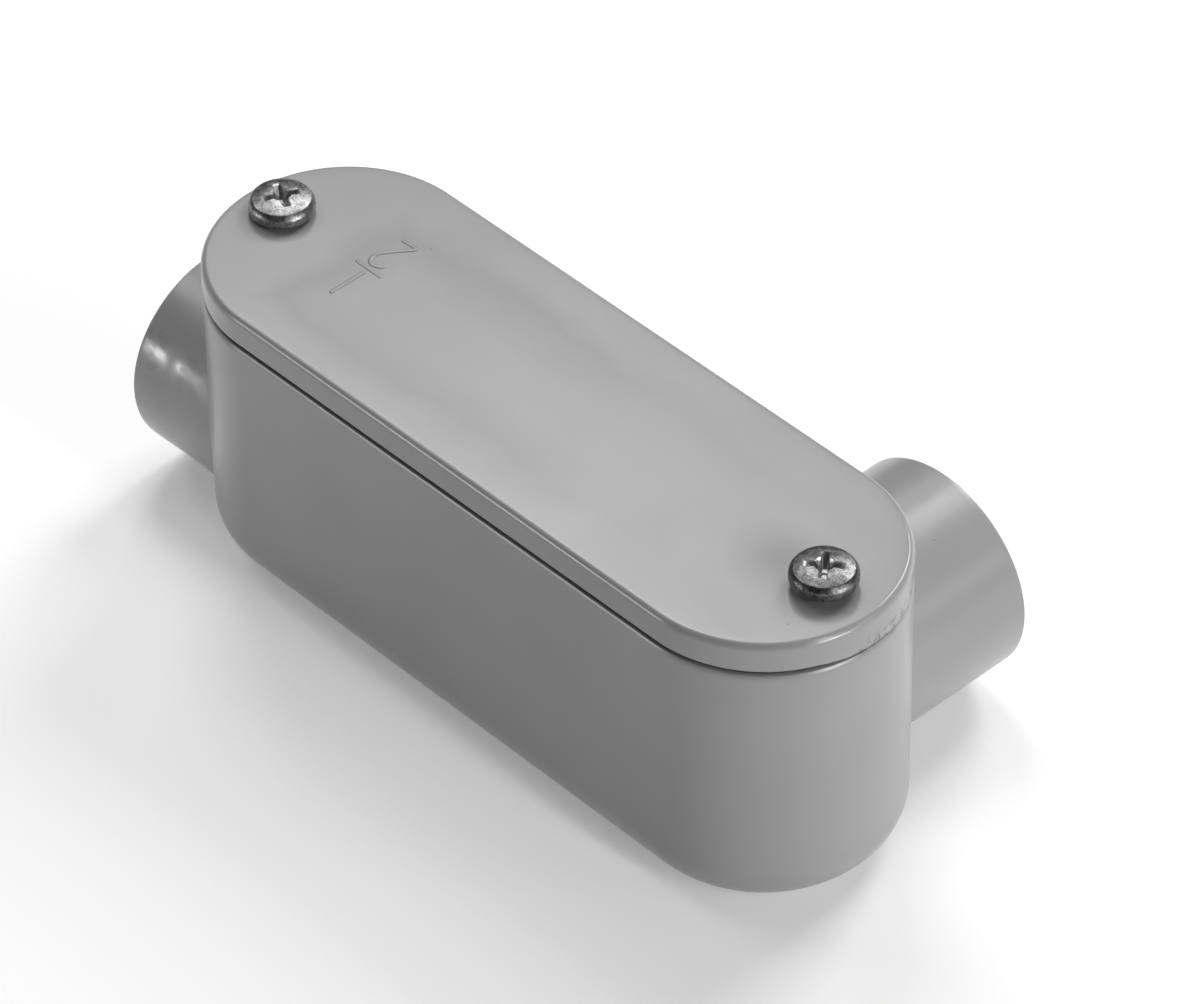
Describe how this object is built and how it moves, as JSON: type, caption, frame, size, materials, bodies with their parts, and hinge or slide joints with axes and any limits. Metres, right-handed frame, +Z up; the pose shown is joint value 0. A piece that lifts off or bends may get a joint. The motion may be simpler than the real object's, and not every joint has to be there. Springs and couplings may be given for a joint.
{
  "type": "conduit body",
  "caption": "Grey plastic look-left conduit body: obround box with a gasketed screw-down cover and a hub on its end and on its side, with sockets for half-inch conduit.",
  "frame": {"origin": "on the flat underside, midway between the centres of the box's round ends", "axes": "+X along the box, away from the end hub; +Y towards the side hub's mouth; +Z up through the cover"},
  "size_m": [0.1141, 0.0525, 0.0462],
  "materials": {
    "grey_body": "satin moulded PVC",
    "grey_cover": "satin moulded PVC",
    "gasket_foam": "dark closed-cell foam",
    "zinc_steel": "dull zinc plate"
  },
  "bodies": {
    "housing": {"conduit_body": "grey_body", "gasket": "gasket_foam", "cover": "grey_cover"},
    "end_screw": {"cover_screw_end": "zinc_steel"},
    "side_screw": {"cover_screw_side": "zinc_steel"}
  },
  "joints": [
    {"name": "end_screw_travel", "type": "slide", "parent": "housing", "child": "end_screw", "axis": [0, 0, 1], "range_m": [-0.00043, 0.008]},
    {"name": "side_screw_travel", "type": "slide", "parent": "housing", "child": "side_screw", "axis": [0, 0, 1], "range_m": [-0.00098, 0.008]}
  ]
}
